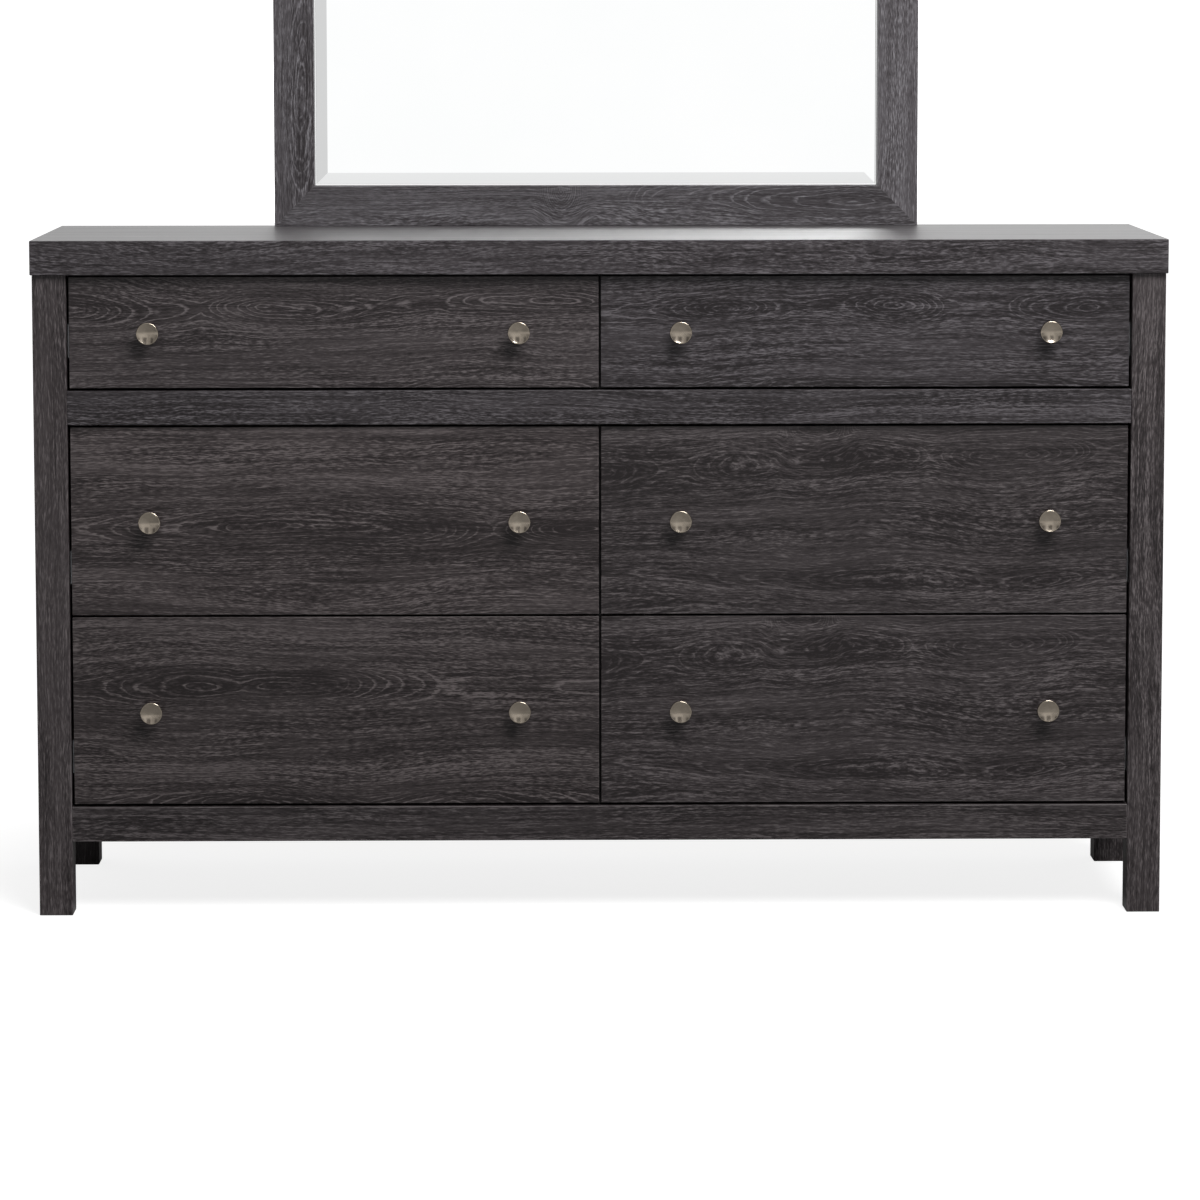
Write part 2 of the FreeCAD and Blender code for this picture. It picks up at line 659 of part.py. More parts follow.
def main():
    os.makedirs("parts", exist_ok=True)
    nodes = case_nodes()
    for row in DRAWER_ROWS:
        nodes.update(drawer_nodes(row))
    for name, solids in nodes.items():
        shape = Part.makeCompound(solids)
        shape.exportStep(f"parts/{name}.step")


main()
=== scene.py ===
import math

import bpy
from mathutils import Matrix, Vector


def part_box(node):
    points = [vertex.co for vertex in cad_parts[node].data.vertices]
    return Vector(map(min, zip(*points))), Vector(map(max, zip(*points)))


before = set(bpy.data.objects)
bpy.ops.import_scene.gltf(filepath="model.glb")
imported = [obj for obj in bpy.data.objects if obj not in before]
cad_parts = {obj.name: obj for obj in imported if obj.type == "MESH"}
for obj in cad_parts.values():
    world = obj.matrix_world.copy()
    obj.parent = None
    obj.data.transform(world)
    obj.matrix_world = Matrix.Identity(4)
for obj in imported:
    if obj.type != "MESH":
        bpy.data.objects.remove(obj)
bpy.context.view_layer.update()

ROWS = ("upper", "middle", "lower")
COLUMNS = ("left", "right")
DRAWERS = [f"{row}_{column}_drawer" for row in ROWS for column in COLUMNS]

# Camera, fitted to the photograph: place in metres, angles in radians, pixels of a 1200 pixel frame
FRAME_PIXELS = 1200.0
SENSOR_WIDTH = 36.0
CAMERA_PLACE = Vector((-0.0771, -6.5169, 1.2310))
CAMERA_YAW = 0.01235
CAMERA_PITCH = 0.10105
CAMERA_ROLL = -0.00107
CAMERA_FOCAL_PIXELS = 4710.4
CAMERA_SHIFT_Y = -0.1
CAMERA_REACH = 200.0

# Lamp: places and size in metres, power in watts
KEY_PLACE = Vector((1.2, -3.0, 3.6))
KEY_AIM = Vector((0.0, -0.2, 0.7))
KEY_SIZE = 2.4
KEY_POWER = 231.0

# Soft light from all round, with a fill from behind. Here and below, a start and an end are where a smooth
# step begins and ends, along one axis of the direction looked in.
AMBIENT_LOW = 0.03
AMBIENT_RISE = 0.22
BACK_FILL = 2.0
BACK_START = -0.1
BACK_END = 0.6
BACK_TOP = 0.6

# Background as metal and glass show it. A grey is its strength there, where white is 1.
FRONT_START = 0.0
FRONT_END = -0.3
SIDE_GREY = 0.66
SIDE_START = -0.135
SIDE_END = -0.062
REAR_SIDE_START = -0.15
REAR_SIDE_END = 0.03
FLANK_GREY = 0.30
FLANK_START = 0.35
FLANK_END = 0.75

# Row of bright panels in that background: their foot and head, and the waves that set the gaps between them
PANEL_START = 0.11
PANEL_END = 0.22
CEILING_START = 0.55
CEILING_END = 0.75
WIDE_WAVES = 13.0
WIDE_PHASE = 0.6
NARROW_WAVES = 31.0
NARROW_PHASE = 1.4
NARROW_SHARE = 0.6
GAP_GREY = 0.25
GAP_START = -0.6
GAP_END = 0.5

# Floor: its starts and ends are distances from the object's middle, in metres
FLOOR_SIZE = 40.0
FLOOR_TONE = 0.36
FLOOR_LIFT = 0.82
FLOOR_LIFT_START = 0.7
FLOOR_LIFT_END = 1.3
FLOOR_MIRRORED_LIFT = 0.74
FLOOR_MIRRORED_START = 3.0
FLOOR_MIRRORED_END = 7.5
WHITE = (1.0, 1.0, 1.0, 1.0)


class Nodes:
    """Short calls for building one node tree."""

    def __init__(self, tree):
        self.tree = tree
        tree.nodes.clear()

    def add(self, kind, settings=None, inputs=None):
        """Adds a node, sets its properties and links or sets its inputs."""
        node = self.tree.nodes.new(kind)
        for name, value in (settings or {}).items():
            setattr(node, name, value)
        for key, value in (inputs or {}).items():
            self.feed(node.inputs[key], value)
        return node

    def feed(self, socket, value):
        """Links a socket to another one, or sets its value."""
        if isinstance(value, bpy.types.NodeSocket):
            self.tree.links.new(value, socket)
        else:
            socket.default_value = value

    def group(self, tree, **inputs):
        """Adds a node group, and gives its outputs."""
        return self.add("ShaderNodeGroup", {"node_tree": tree}, inputs).outputs

    def math(self, operation, first, second=0.0, third=0.0):
        inputs = {0: first, 1: second, 2: third}
        return self.add("ShaderNodeMath", {"operation": operation}, inputs).outputs[0]

    def total(self, *values):
        """The sum of several values."""
        result = values[0]
        for value in values[1:]:
            result = self.math("ADD", result, value)
        return result

    def product(self, *values):
        """The product of several values."""
        result = values[0]
        for value in values[1:]:
            result = self.math("MULTIPLY", result, value)
        return result

    def scaled(self, value, gain, offset):
        """A value times a gain, plus an offset."""
        return self.math("MULTIPLY_ADD", value, gain, offset)

    def fade(self, share, low, high):
        """Goes from low to high while the share goes from zero to one."""
        return self.scaled(share, high - low, low)

    def between(self, value, start, end):
        """Rises smoothly from zero to one while the value goes from start to end."""
        settings = {"interpolation_type": "SMOOTHSTEP", "clamp": True}
        inputs = {"Value": value, "From Min": start, "From Max": end}
        return self.add("ShaderNodeMapRange", settings, inputs).outputs["Result"]

    def choose(self, share, first, second):
        """Blend of two values."""
        inputs = {"Factor": share, "A": first, "B": second}
        return self.add("ShaderNodeMix", {}, inputs).outputs["Result"]

    def mix(self, share, first, second):
        """Blend of two colours."""
        node = self.add("ShaderNodeMix", {"data_type": "RGBA"}, {"Factor": share})
        self.feed(node.inputs["A"], first)
        self.feed(node.inputs["B"], second)
        return node.outputs["Result"]

    def vector(self, operation, first, second=(0.0, 0.0, 0.0)):
        node = self.add("ShaderNodeVectorMath", {"operation": operation}, {0: first, 1: second})
        return node.outputs["Value" if operation == "LENGTH" else "Vector"]

    def split(self, vector):
        return self.add("ShaderNodeSeparateXYZ", {}, {0: vector}).outputs

    def join(self, x, y, z):
        return self.add("ShaderNodeCombineXYZ", {}, {0: x, 1: y, 2: z}).outputs[0]

    def object_place(self):
        return self.add("ShaderNodeTexCoord").outputs["Object"]

    def noise(self, place, waves, detail=2.0, roughness=0.5):
        """Noise with its own number of waves per metre along each axis, or one number for all three."""
        per_axis = (waves,) * 3 if isinstance(waves, float) else waves
        scaled = self.vector("MULTIPLY", place, per_axis)
        inputs = {"Vector": scaled, "Scale": 1.0, "Detail": detail, "Roughness": roughness}
        return self.add("ShaderNodeTexNoise", {}, inputs).outputs["Fac"]

    def centred(self, value, reach=1.0):
        """A noise value moved to swing about zero, scaled to a reach."""
        return self.math("MULTIPLY", self.math("SUBTRACT", value, 0.5), reach)

    def ramp(self, value, stops):
        """Colour ramp with stops of position and grey level or colour."""
        node = self.add("ShaderNodeValToRGB", {}, {"Fac": value})
        elements = node.color_ramp.elements
        while len(elements) < len(stops):
            elements.new(1.0)
        for element, (position, colour) in zip(elements, stops):
            level = (colour,) * 3 if isinstance(colour, float) else colour
            element.position = position
            element.color = (*level, 1.0)
        return node.outputs["Color"]

    def shade(self, value, colours, start=0.0, end=1.0):
        """Goes from a dark to a light colour while the value goes from start to end."""
        dark, light = colours
        return self.ramp(value, [(start, dark), (end, light)])

    def bump(self, height, depth, normal=None):
        """Surface normal of a relief with a depth in metres."""
        inputs = {"Strength": 1.0, "Distance": depth, "Height": height}
        if normal:
            inputs["Normal"] = normal
        return self.add("ShaderNodeBump", {}, inputs).outputs["Normal"]

    def surface(self, **inputs):
        """Ends the tree with one principled shader. An underscore in a name stands for a space."""
        settings = {name.replace("_", " "): value for name, value in inputs.items()}
        shader = self.add("ShaderNodeBsdfPrincipled", {}, settings)
        self.add("ShaderNodeOutputMaterial", {}, {"Surface": shader.outputs[0]})


def new_material(name):
    """An empty material and the builder of its node tree."""
    material = bpy.data.materials.new(name)
    material.use_nodes = True
    return material, Nodes(material.node_tree)


def wear(node, material):
    """Puts one material on every face of a node."""
    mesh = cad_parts[node].data
    mesh.materials.clear()
    mesh.materials.append(material)


def group_tree(name, inputs, outputs):
    """An empty node group with its sockets, and the builder of its tree."""
    tree = bpy.data.node_groups.new(name, "ShaderNodeTree")
    for direction, sockets in (("INPUT", inputs), ("OUTPUT", outputs)):
        for socket, kind in sockets.items():
            tree.interface.new_socket(socket, in_out=direction, socket_type=f"NodeSocket{kind}")
    return tree, Nodes(tree)


# Oak laminate: the axes along the grain, across it and into the board, for each way that a board lies
GRAIN_ORDERS = {"x": ("X", "Z", "Y"), "z": ("Z", "X", "Y"), "top": ("X", "Y", "Z"), "side": ("Z", "Y", "X")}
SEED_STEP = (1.37, 2.11, 0.73)
OAK_DARK = (0.0104, 0.0078, 0.0082)
OAK_MIDDLE = (0.0362, 0.0302, 0.0312)
OAK_LIGHT = (0.1120, 0.0985, 0.1005)
OAK_STOPS = [(0.0, OAK_DARK), (0.45, OAK_MIDDLE), (1.0, OAK_LIGHT)]
EVEN = Vector((1.0, 1.0, 1.0))
COOL = Vector((0.98, 1.02, 1.07))
COLD = Vector((0.98, 1.07, 1.12))
WARM = Vector((1.02, 1.0, 0.98))

# Waves per metre of the oak's noises, along the grain, across it and into the board
OAK_WAVES = {
    "wide": (2.2, 8.0, 8.0),
    "wavy": (6.0, 30.0, 30.0),
    "ripple": (24.0, 130.0, 130.0),
    "wander": (11.0, 4.0, 4.0),
    "fray": (80.0, 420.0, 420.0),
    "patch": (6.0, 30.0, 30.0),
    "fine": (105.0, 840.0, 840.0),
    "fibre": (9.0, 420.0, 420.0),
    "streak": (1.4, 95.0, 95.0),
    "cloud": (0.7, 18.0, 18.0),
    "busy": (4.0, 26.0, 26.0),
    "line": (3.0, 120.0, 120.0),
    "pore": (50.0, 620.0, 620.0),
    "stain": (8.0, 34.0, 34.0),
    "coat": (0.9, 45.0, 45.0),
    # Patches along the arrises, worn pale and given a painted highlight
    "edge_wear_highlight": (14.0, 14.0, 14.0),
}

# Where the smooth steps of the oak's figure start and end
OAK_STEPS = {
    "beside_heart": (0.026, 0.010),
    "near_pith": (0.048, 0.034),
    "patch": (0.24, 0.50),
    "busy": (0.30, 0.70),
    "line": (0.075, 0.015),
    "pore": (0.58, 0.72),
    "stain": (0.34, 0.62),
    "stained_pith": (0.034, 0.008),
    "coat": (0.25, 0.70),
    "upward": (0.5, 0.9),
    # Patches along the arrises, worn pale and given a painted highlight
    "edge_wear_highlight": (0.22, 0.56),
}

# How far the bends move the grain across the board, in metres
BEND_REACH = {"wide": 0.055, "wavy": 0.011, "ripple": 0.0009}

# How much each part of the figure adds to the tone, which goes from 0, dark, to 1, light
TONE_MIDDLE = 0.475
TONE_GAINS = {
    "fine": 2.3,
    "fibre": 0.62,
    "streak": 0.30,
    "cloud": 0.46,
    "pore": 0.36,
    "line": -0.26,
    "stain": -0.28,
    # The arrises: worn pale, and a painted highlight along them
    "edge": 0.26,
}
BUSY_LEAST = 0.5

# Growth rings: lengths in metres, and unevenness in rings
RINGS_PER_METRE = 290.0
RING_STOPS = [(0.0, 0.25), (0.08, 1.0), (0.18, 0.70), (0.34, 0.10), (0.60, 0.24), (1.0, 0.25)]
RING_MEAN = 0.34
RING_LEAST_SHARE = 0.20
UNEVEN_WAVES = (90.0, 2.0, 0.0)
UNEVEN_RINGS = 2.6
FRAYED_RINGS = 0.45
PITH_DEPTH = 0.036
PITH_WANDER = 0.014
PITH_CORE = 0.002
HEART_CORE = 0.012
HEART_MERGE = 0.012
PUSH_SHARE = 0.55
STRAND_DEPTH_SHARE = 0.5
FLOW_DEPTH_SHARE = 0.6

# Surface of the oak, and the clear coat on the top
OAK_RELIEF = 0.00006
OAK_ROUGHNESS = 0.28
OAK_ROUGHNESS_GAIN = 0.16
OAK_SPECULAR = 0.25
# Width of the pale band along each arris: worn print, and a painted highlight where an arris catches the
# light
WORN_LIT_EDGE_WIDTH = 0.0022
COAT_ROUGHNESS = 0.45
COAT_IOR = 1.5
COAT_STREAK_SHARE = 0.3

# Figure of each board. A heart line is where the pith runs under the surface: its height as a share of
# half the board's width, its climb along the board, and the pith's depth, in shares of the greatest
# depth, at shares of the board's length. Where the pith comes up, the rings close in eyes and arcs.
PLAIN_SHARES = ((2.6, 0.0, ((0.0, 0.8), (0.5, 1.0), (1.0, 0.8))),)
BROAD_SHARES = (
    (-0.35, 0.02, ((0.0, 0.9), (0.2, 0.5), (0.36, 0.05), (0.62, 0.9), (0.8, 0.5), (0.95, 0.1))),
    (0.75, -0.02, ((0.0, 0.2), (0.3, 0.9), (0.55, 0.6), (0.7, 0.1), (1.0, 0.9))),
)
NARROW_SHARES = ((0.2, 0.0, ((0.0, 0.7), (0.2, 0.1), (0.5, 0.9), (0.72, 0.15), (0.84, 0.1), (1.0, 0.6))),)
MIRROR_RAIL_SHARES = (
    (0.10, 0.0, ((0.0, 1.6), (0.50, 1.6), (0.58, 0.9), (0.90, 0.08), (1.0, 0.3))),
    (0.50, 0.0, ((0.0, 1.6), (0.40, 1.6), (0.445, 0.03), (0.49, 1.6), (1.0, 1.6))),
)
UPPER_LEFT_SHARES = (
    (0.44, 0.0, ((0.0, 0.06), (0.16, 0.60), (0.25, 0.66), (0.37, 0.06), (0.60, 0.50), (0.70, 0.56),
                 (0.915, 0.05), (1.0, 0.30))),
    (-1.10, 0.0, ((0.0, 0.62), (0.17, 0.08), (0.45, 0.66), (0.60, 0.66), (0.80, 0.08), (1.0, 0.6))),
)
UPPER_RIGHT_SHARES = (
    (0.35, 0.01, ((0.0, 0.70), (0.08, 0.60), (0.235, 0.06), (0.36, 0.58), (0.45, 0.55), (0.555, 0.05),
                  (0.65, 0.58), (0.77, 0.60), (0.92, 0.08), (1.0, 0.22))),
    (-1.20, 0.0, ((0.0, 0.50), (0.19, 0.90), (0.42, 0.25), (1.0, 0.30))),
)
MIDDLE_LEFT_SHARES = (
    (-0.10, 0.0, ((0.0, 0.65), (0.18, 0.45), (0.30, 0.14), (0.56, 0.20), (0.66, 0.50), (0.80, 0.80),
                  (0.97, 0.10), (1.0, 0.20))),
    (1.25, 0.0, ((0.0, 0.9), (0.5, 0.5), (1.0, 0.9))),
)
LOWER_LEFT_SHARES = (
    (0.20, 0.0, ((0.0, 0.60), (0.15, 0.40), (0.25, 0.10), (0.32, 0.24), (0.38, 0.05), (0.70, 0.95),
                 (1.0, 0.80))),
    (-1.05, 0.0, ((0.0, 0.9), (0.15, 0.75), (0.36, 0.20), (0.46, 0.58), (0.56, 0.62), (0.72, 0.2),
                  (1.0, 0.7))),
)
RIGHT_SHARES = (
    (0.60, 0.03, ((0.0, 0.05), (0.11, 0.46), (0.17, 0.44), (0.25, 0.12), (0.34, 0.50), (0.47, 0.14),
                  (0.62, 0.64), (0.72, 0.30), (0.82, 0.26), (0.94, 0.66))),
    (-0.64, 0.0, ((0.0, 0.80), (0.30, 0.60), (0.45, 0.36), (0.62, 0.08), (0.74, 0.50), (0.85, 0.2),
                  (1.0, 0.6))),
    (0.90, 0.0, ((0.0, 1.2), (0.33, 1.2), (0.37, 0.45), (0.41, 0.03), (0.45, 0.45), (0.49, 1.2),
                 (1.0, 1.2))),
)
FRONT_SHARES = {
    "upper_left": UPPER_LEFT_SHARES,
    "upper_right": UPPER_RIGHT_SHARES,
    "middle_left": MIDDLE_LEFT_SHARES,
    "middle_right": RIGHT_SHARES,
    "lower_left": LOWER_LEFT_SHARES,
    "lower_right": RIGHT_SHARES,
}


def oak_noise(n, place, name, detail=2.0, roughness=0.5):
    """One of the oak's noises."""
    return n.noise(place, OAK_WAVES[name], detail, roughness)


def oak_step(n, value, name):
    """One of the smooth steps of the oak's figure."""
    return n.between(value, *OAK_STEPS[name])


def oak_bend_group():
    """Node group that bends the grain: how far each place is moved across the board."""
    tree, n = group_tree("oak_bend", {"Place": "Vector", "Swing": "Float"}, {"Bend": "Float"})
    given = n.add("NodeGroupInput").outputs
    noises = {name: oak_noise(n, given["Place"], name, detail=1.0) for name in BEND_REACH}
    wide, wavy, ripple = [n.centred(noises[name], reach) for name, reach in BEND_REACH.items()]
    bend = n.math("MULTIPLY", n.total(wide, wavy), given["Swing"])
    n.add("NodeGroupOutput", {}, {"Bend": n.total(bend, ripple)})
    return tree


def oak_ring_group():
    """Node group of one heart line: how far each place is from the pith and from the line itself, and how
    far the fibre is pushed aside to flow round the eyes."""
    inputs = {"Place": "Vector", "Flow": "Float", "Height": "Float", "Depth": "Float"}
    tree, n = group_tree("oak_rings", inputs, {"Radius": "Float", "Aside": "Float", "Push": "Float"})
    given = n.add("NodeGroupInput").outputs
    wander = n.centred(oak_noise(n, given["Place"], "wander"), PITH_WANDER)
    pith = n.scaled(given["Depth"], PITH_DEPTH, wander)
    sideways = n.math("SUBTRACT", given["Flow"], given["Height"])
    radius = n.vector("LENGTH", n.join(sideways, pith, PITH_CORE))
    usual = n.vector("LENGTH", n.join(sideways, PITH_DEPTH / 2, PITH_CORE))
    side = n.math("DIVIDE", sideways, n.vector("LENGTH", n.join(sideways, HEART_CORE, 0.0)))
    push = n.product(n.math("SUBTRACT", radius, usual), side, PUSH_SHARE)
    outputs = {"Radius": radius, "Aside": n.math("ABSOLUTE", sideways), "Push": push}
    n.add("NodeGroupOutput", {}, outputs)
    return tree


def oak_edge_group():
    """Node group that is one on a board's arrises, where the print is worn pale and given a painted
    highlight, and zero elsewhere.
    """
    tree, n = group_tree("oak_edge", {"Place": "Vector", "Inset": "Vector"}, {"WornLitEdge": "Float"})
    given = n.add("NodeGroupInput").outputs
    x, y, z = n.split(given["Inset"])
    least = n.math("MINIMUM", x, y)
    most = n.math("MAXIMUM", x, y)
    from_edge = n.math("MAXIMUM", least, n.math("MINIMUM", most, z))
    worn_lit_patches = oak_step(n, oak_noise(n, given["Place"], "edge_wear_highlight", detail=3.0), "edge_wear_highlight")
    edge = n.product(n.between(from_edge, WORN_LIT_EDGE_WIDTH, 0.0), worn_lit_patches)
    n.add("NodeGroupOutput", {}, {"WornLitEdge": edge})
    return tree


def ring_figure(n, place, radius, aside):
    """Growth rings, as a swing about zero: strong near the hearts, faint elsewhere."""
    along = n.split(place)["X"]
    uneven = n.centred(n.noise(n.join(radius, along, 0.0), UNEVEN_WAVES, detail=1.0), UNEVEN_RINGS)
    fray = n.centred(oak_noise(n, place, "fray"), FRAYED_RINGS)
    ring = n.math("FRACT", n.total(n.math("MULTIPLY", radius, RINGS_PER_METRE), uneven, fray))
    near_heart = n.product(oak_step(n, aside, "beside_heart"), oak_step(n, radius, "near_pith"))
    patchy = oak_step(n, oak_noise(n, place, "patch"), "patch")
    strength = n.product(n.fade(near_heart, RING_LEAST_SHARE, 1.0), patchy)
    return n.product(n.math("SUBTRACT", n.ramp(ring, RING_STOPS), RING_MEAN), strength)


def oak_tone_group():
    """Node group of the oak's colour: growth rings near the hearts, and fibre, bands, pores and dark lines
    along the flow."""
    numbers = ("Flow", "Radius", "Aside", "WornLitEdge", "Contrast", "Rings", "Bands")
    inputs = {"Place": "Vector", "Tint": "Vector", **dict.fromkeys(numbers, "Float")}
    tree, n = group_tree("oak_tone", inputs, {"Colour": "Color", "Grain": "Float"})
    given = n.add("NodeGroupInput").outputs
    place = given["Place"]
    axes = n.split(place)
    strands = n.join(axes["X"], given["Flow"], n.math("MULTIPLY", axes["Z"], STRAND_DEPTH_SHARE))

    fine = n.centred(oak_noise(n, strands, "fine", roughness=0.6))
    fibre = n.centred(oak_noise(n, strands, "fibre", detail=1.0))
    streak = n.centred(oak_noise(n, strands, "streak"), TONE_GAINS["streak"])
    cloud = n.centred(oak_noise(n, strands, "cloud"), TONE_GAINS["cloud"])
    busy = n.math("ADD", oak_step(n, oak_noise(n, strands, "busy"), "busy"), BUSY_LEAST)
    line = oak_step(n, n.math("ABSOLUTE", n.centred(oak_noise(n, strands, "line"))), "line")
    pore = oak_step(n, oak_noise(n, strands, "pore", detail=1.0), "pore")
    stained = oak_step(n, oak_noise(n, place, "stain"), "stain")
    stain = n.product(stained, oak_step(n, given["Radius"], "stained_pith"))

    swing = n.product(ring_figure(n, place, given["Radius"], given["Aside"]), given["Rings"])
    swing = n.scaled(fine, n.math("MULTIPLY", busy, TONE_GAINS["fine"]), swing)
    swing = n.scaled(fibre, TONE_GAINS["fibre"], swing)
    swing = n.scaled(n.total(streak, cloud), given["Bands"], swing)
    swing = n.scaled(pore, TONE_GAINS["pore"], swing)
    swing = n.scaled(n.product(line, busy), TONE_GAINS["line"], swing)
    swing = n.scaled(stain, TONE_GAINS["stain"], swing)
    tone = n.scaled(swing, given["Contrast"], TONE_MIDDLE)
    # Arrises made paler: worn print, and a painted highlight along them
    tone = n.scaled(given["WornLitEdge"], TONE_GAINS["edge"], tone)
    colour = n.vector("MULTIPLY", n.ramp(tone, OAK_STOPS), given["Tint"])
    n.add("NodeGroupOutput", {}, {"Colour": colour, "Grain": n.total(fine, fibre, 0.5)})
    return tree


def clear_coat(n, place):
    """Shader settings of a clear coat on the upward faces, a little thinner in streaks along the grain."""
    up = n.split(n.add("ShaderNodeTexCoord").outputs["Normal"])["Z"]
    streaks = oak_step(n, oak_noise(n, place, "coat", detail=3.0), "coat")
    cover = n.fade(streaks, 1.0 - COAT_STREAK_SHARE, 1.0)
    weight = n.product(oak_step(n, up, "upward"), cover)
    return {"Coat_Weight": weight, "Coat_Roughness": COAT_ROUGHNESS, "Coat_IOR": COAT_IOR}


class Oak:
    """Oak laminate, laid on each board about the board's own middle."""

    def __init__(self):
        self.bend = oak_bend_group()
        self.rings = oak_ring_group()
        self.edge = oak_edge_group()
        self.tone = oak_tone_group()

    def follow_hearts(self, n, hearts, place, along, flow, length, width):
        """How far each place is from the nearest pith and from the nearest heart line, and the way of the
        fibre round the eyes."""
        share = n.scaled(along, 1.0 / length, 0.5)
        radius = aside = None
        fibre = flow
        for height_share, climb, depth_shares in hearts:
            height = n.scaled(along, climb, height_share * width / 2)
            depth = n.ramp(share, depth_shares)
            found = n.group(self.rings, Place=place, Flow=flow, Height=height, Depth=depth)
            reached = found["Radius"]
            radius = n.math("SMOOTH_MIN", radius, reached, HEART_MERGE) if radius else reached
            aside = n.math("MINIMUM", aside, found["Aside"]) if aside else found["Aside"]
            fibre = n.math("ADD", fibre, found["Push"])
        return radius, aside, fibre

    def lay(self, node, grain, hearts, seed, swing=1.0, slide=0.0, contrast=1.0, rings=0.8, bands=1.0,
            level=1.0, tint=EVEN, edge_wear_highlight=1.0, coated=False):
        """Gives a board its own figure, from the shares of its heart lines, and its own tone."""
        low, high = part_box(node)
        material, n = new_material(f"oak_{node}")
        order = GRAIN_ORDERS[grain]
        length, width = [(high - low)["XYZ".index(axis)] for axis in order[:2]]
        from_middle = n.vector("SUBTRACT", n.object_place(), (low + high) / 2)
        inset = n.vector("SUBTRACT", (high - low) / 2, n.vector("ABSOLUTE", from_middle))
        axes = n.split(from_middle)
        along, across, depth = [axes[axis] for axis in order]
        along = n.math("ADD", along, slide)
        offset = tuple(seed * step for step in SEED_STEP)
        place = n.vector("ADD", n.join(along, across, depth), offset)
        bend = n.group(self.bend, Place=place, Swing=swing)["Bend"]
        flow = n.total(across, bend, n.math("MULTIPLY", depth, FLOW_DEPTH_SHARE))
        radius, aside, fibre = self.follow_hearts(n, hearts, place, along, flow, length, width)
        # Pale arrises, worn print and a painted highlight, as strong as set for each board
        edge = n.math("MULTIPLY", n.group(self.edge, Place=place, Inset=inset)["WornLitEdge"], edge_wear_highlight)
        figure = {"Place": place, "Flow": fibre, "Radius": radius, "Aside": aside, "WornLitEdge": edge}
        figure.update({"Contrast": contrast, "Rings": rings, "Bands": bands, "Tint": level * tint})
        tone = n.group(self.tone, **figure)
        n.surface(
            Base_Color=tone["Colour"],
            Roughness=n.scaled(tone["Grain"], OAK_ROUGHNESS_GAIN, OAK_ROUGHNESS),
            Normal=n.bump(tone["Grain"], OAK_RELIEF),
            Specular_IOR_Level=OAK_SPECULAR,
            **(clear_coat(n, place) if coated else {}),
        )
        wear(node, material)


def dress_case(oak):
    """Lays the oak on the case: its top, posts, side panels and front rails."""
    oak.lay("top_panel", "top", BROAD_SHARES, seed=1.0, contrast=0.88, tint=COOL, coated=True)
    for count, (side, level) in enumerate(zip(COLUMNS, (1.16, 1.1))):
        post = {"swing": 0.5, "contrast": 0.83}
        oak.lay(f"front_{side}_post", "z", PLAIN_SHARES, seed=2.0 + count, level=level, **post)
        oak.lay(f"rear_{side}_post", "z", PLAIN_SHARES, seed=4.0 + count, **post)
        oak.lay(f"{side}_side_panel", "side", BROAD_SHARES, seed=6.0 + count)
    oak.lay("middle_front_rail", "x", PLAIN_SHARES, seed=12.0, swing=0.7, contrast=1.35, bands=1.1,
            level=0.9, tint=COOL)
    # The bottom rail's arrises are made three times as pale: a painted highlight along its top arris, where
    # the lamp catches it
    oak.lay("bottom_front_rail", "x", PLAIN_SHARES, seed=13.0, swing=0.5, contrast=1.05, level=0.84,
            edge_wear_highlight=3.0)


def dress_mirror_frame(oak):
    """Lays the oak on the four members of the mirror's frame, which are paler and colder than the case."""
    look = {"swing": 0.5, "tint": COLD}
    rail = {"contrast": 0.7, "level": 1.65, **look}
    oak.lay("mirror_left_stile", "z", NARROW_SHARES, seed=8.0, contrast=0.66, level=2.04, **look)
    oak.lay("mirror_right_stile", "z", PLAIN_SHARES, seed=9.0, contrast=0.6, level=2.2, **look)
    oak.lay("mirror_top_rail", "x", NARROW_SHARES, seed=10.0, **rail)
    oak.lay("mirror_bottom_rail", "x", MIRROR_RAIL_SHARES, seed=11.0, **rail)


def dress_drawer_fronts(oak):
    """Lays the oak on the drawer fronts. The two large fronts on the right have the same print."""
    right = {"seed": 18.0, "rings": 0.55, "bands": 1.7}
    looks = {
        "upper_left": {"seed": 14.0, "rings": 0.95},
        "upper_right": {"seed": 15.0, "level": 0.98, "tint": COOL},
        "middle_left": {"seed": 16.0, "bands": 1.6, "level": 1.04, "tint": WARM},
        "lower_left": {"seed": 17.0, "rings": 0.95, "bands": 1.5, "level": 0.93, "tint": WARM},
        "middle_right": {"level": 0.9, **right},
        "lower_right": {"level": 0.96, "slide": 0.02, **right},
    }
    for drawer, look in looks.items():
        oak.lay(f"{drawer}_drawer_front", "x", FRONT_SHARES[drawer], **look)


# Colours of the other finishes, the dark and the light one of each
# The plain laminate's colours are near black: a dark laminate, darkened further as painted shade for the
# gaps round the drawers
LAMINATE_AND_GAP_SHADE_COLOURS = ((0.010, 0.009, 0.009), (0.034, 0.031, 0.031))
HARDBOARD_COLOURS = ((0.060, 0.034, 0.019), (0.210, 0.130, 0.075))
DRAWER_SIDE_COLOURS = ((0.31, 0.22, 0.14), (0.62, 0.51, 0.375))
DRAWER_BOTTOM_COLOURS = ((0.36, 0.27, 0.18), (0.67, 0.56, 0.43))
ZINC_COLOURS = ((0.36, 0.37, 0.39), (0.62, 0.63, 0.65))
SCREW_COLOURS = ((0.22, 0.21, 0.20), (0.52, 0.51, 0.49))
NICKEL_COLOURS = ((0.245, 0.208, 0.168), (0.40, 0.35, 0.29))
SILVER_COLOURS = ((0.975, 0.985, 0.985), (0.99, 0.995, 0.995))

